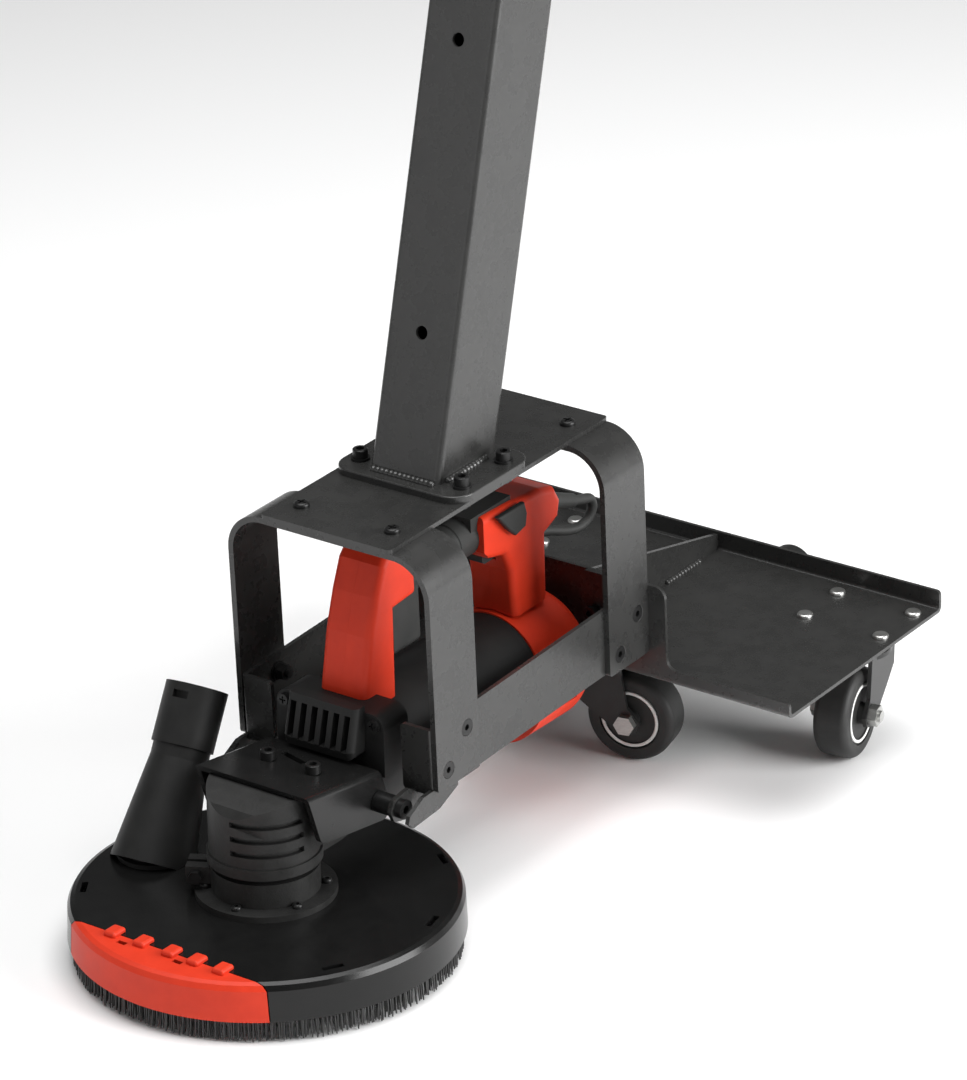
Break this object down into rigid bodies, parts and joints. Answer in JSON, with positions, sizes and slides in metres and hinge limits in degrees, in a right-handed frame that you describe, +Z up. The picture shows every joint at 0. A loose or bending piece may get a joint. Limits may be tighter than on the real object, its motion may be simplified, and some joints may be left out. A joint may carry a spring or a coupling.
{
  "type": "walk-behind floor grinder",
  "caption": "Right-angle grinder in a wheeled steel frame over a round brush dust shroud, with a tilted mast, rear tray and swivel casters.",
  "frame": {"origin": "foot of the grinding spindle on the ground", "axes": "+Z up, -Y towards the shroud's removable front edge, +X to the machine's right-hand rail"},
  "size_m": [0.442, 0.7911, 1.0576],
  "materials": {
    "charcoal": "satin powder coat",
    "red_plastic": "moulded red plastic",
    "dark_plastic": "fine texture",
    "soft_rubber": "matte",
    "cast_alu": "grey cast",
    "zinc": "zinc plated",
    "black_steel": "black oxide",
    "bristle": "nylon bristle",
    "wheel_tread": "matte tread",
    "copper_core": "laminations and winding",
    "shroud_plastic": "satin"
  },
  "bodies": {
    "frame": {"front_hoop": "charcoal", "rear_hoop": "charcoal", "side_rail_right": "charcoal", "side_rail_left": "charcoal", "top_plate": "charcoal", "mast_base_flange": "charcoal", "mast_tube": "charcoal", "handlebar_tube": "charcoal", "handlebar_grips": "soft_rubber", "rear_tray": "charcoal", "tray_center_rib": "charcoal", "caster_rivets": "zinc", "hoop_leg_screws": "black_steel", "top_plate_screws": "black_steel", "mast_flange_bolts": "black_steel", "tray_wall_bolts": "black_steel", "caster_front_swivel_plate": "zinc", "caster_right_swivel_plate": "zinc", "caster_left_swivel_plate": "zinc", "pivot_bolts": "black_steel", "pivot_spacers": "black_steel"},
    "head": {"shroud_cover": "shroud_plastic", "brush_ring": "bristle", "vacuum_nozzle": "dark_plastic", "shroud_clamp_ring": "cast_alu", "shroud_flange_screws": "black_steel", "clamp_ring_screw": "black_steel", "gear_housing": "cast_alu", "pivot_bracket": "charcoal", "bracket_bolts": "black_steel", "motor_housing": "dark_plastic", "motor_housing_screws": "black_steel", "rear_cap": "red_plastic", "stator": "copper_core", "handle_shell_left": "red_plastic", "handle_shell_right": "red_plastic", "handle_grip": "soft_rubber", "cord_strain_relief": "soft_rubber", "power_cord": "soft_rubber", "power_cord_coil": "soft_rubber", "power_plug": "dark_plastic"},
    "edge_segment": {"shroud_edge_segment": "red_plastic", "segment_brush": "bristle"},
    "grinding_spindle": {"spindle": "zinc", "bevel_gear": "zinc", "grinding_disc": "zinc", "disc_lock_nut": "zinc"},
    "armature_rotor": {"armature": "copper_core", "cooling_fan": "dark_plastic"},
    "trigger": {"trigger": "soft_rubber"},
    "lock_on_button": {"lock_on_button": "soft_rubber"},
    "caster_front_fork": {"caster_front_fork": "zinc", "caster_front_axle_bolt": "zinc"},
    "caster_front_wheel": {"caster_front_wheel": "wheel_tread"},
    "caster_right_fork": {"caster_right_fork": "zinc", "caster_right_axle_bolt": "zinc"},
    "caster_right_wheel": {"caster_right_wheel": "wheel_tread"},
    "caster_left_fork": {"caster_left_fork": "zinc", "caster_left_axle_bolt": "zinc"},
    "caster_left_wheel": {"caster_left_wheel": "wheel_tread"}
  },
  "joints": [
    {"name": "head_pitch", "type": "hinge", "parent": "frame", "child": "head", "pos_m": [0, 0.0591, 0.09216], "axis": [1, 0, 0], "range_deg": [-1.5, 1.5]},
    {"name": "edge_segment_slide", "type": "slide", "parent": "head", "child": "edge_segment", "axis": [0, -1, 0], "range_m": [0, 0.06]},
    {"name": "spindle_spin", "type": "hinge", "parent": "head", "child": "grinding_spindle", "pos_m": [0, 0, 0.05], "axis": [0, 0, 1], "continuous": true},
    {"name": "armature_spin", "type": "hinge", "parent": "head", "child": "armature_rotor", "pos_m": [0, 0.15, 0.099], "axis": [0, 1, 0], "continuous": true},
    {"name": "trigger_pull", "type": "slide", "parent": "head", "child": "trigger", "axis": [0, -0.034, 0.9994], "range_m": [0, 0.003], "stiffness_N_per_m": 400},
    {"name": "lock_on_press", "type": "slide", "parent": "head", "child": "lock_on_button", "axis": [-1, 0, 0], "range_m": [0, 0.002], "stiffness_N_per_m": 400},
    {"name": "caster_front_swivel", "type": "hinge", "parent": "frame", "child": "caster_front_fork", "pos_m": [0.012, 0.35164, 0.08411], "axis": [0, -0.034, 0.9994], "continuous": true},
    {"name": "caster_front_roll", "type": "hinge", "parent": "caster_front_fork", "child": "caster_front_wheel", "pos_m": [0.0364, 0.35886, 0.032], "axis": [-0.2175, 0.9755, 0.0332], "continuous": true},
    {"name": "caster_right_swivel", "type": "hinge", "parent": "frame", "child": "caster_right_fork", "pos_m": [0.1484, 0.46308, 0.08791], "axis": [0, -0.034, 0.9994], "continuous": true},
    {"name": "caster_right_roll", "type": "hinge", "parent": "caster_right_fork", "child": "caster_right_wheel", "pos_m": [0.1529, 0.44038, 0.0318], "axis": [0.9837, 0.1798, 0.0061], "continuous": true},
    {"name": "caster_left_swivel", "type": "hinge", "parent": "frame", "child": "caster_left_fork", "pos_m": [-0.1316, 0.46308, 0.08791], "axis": [0, -0.034, 0.9994], "continuous": true},
    {"name": "caster_left_roll", "type": "hinge", "parent": "caster_left_fork", "child": "caster_left_wheel", "pos_m": [-0.1236, 0.44129, 0.03183], "axis": [0.9474, 0.3199, 0.0109], "continuous": true}
  ],
  "couplings": [
    {"joint": "armature_spin", "follows": "spindle_spin", "ratio": 2.1818}
  ]
}
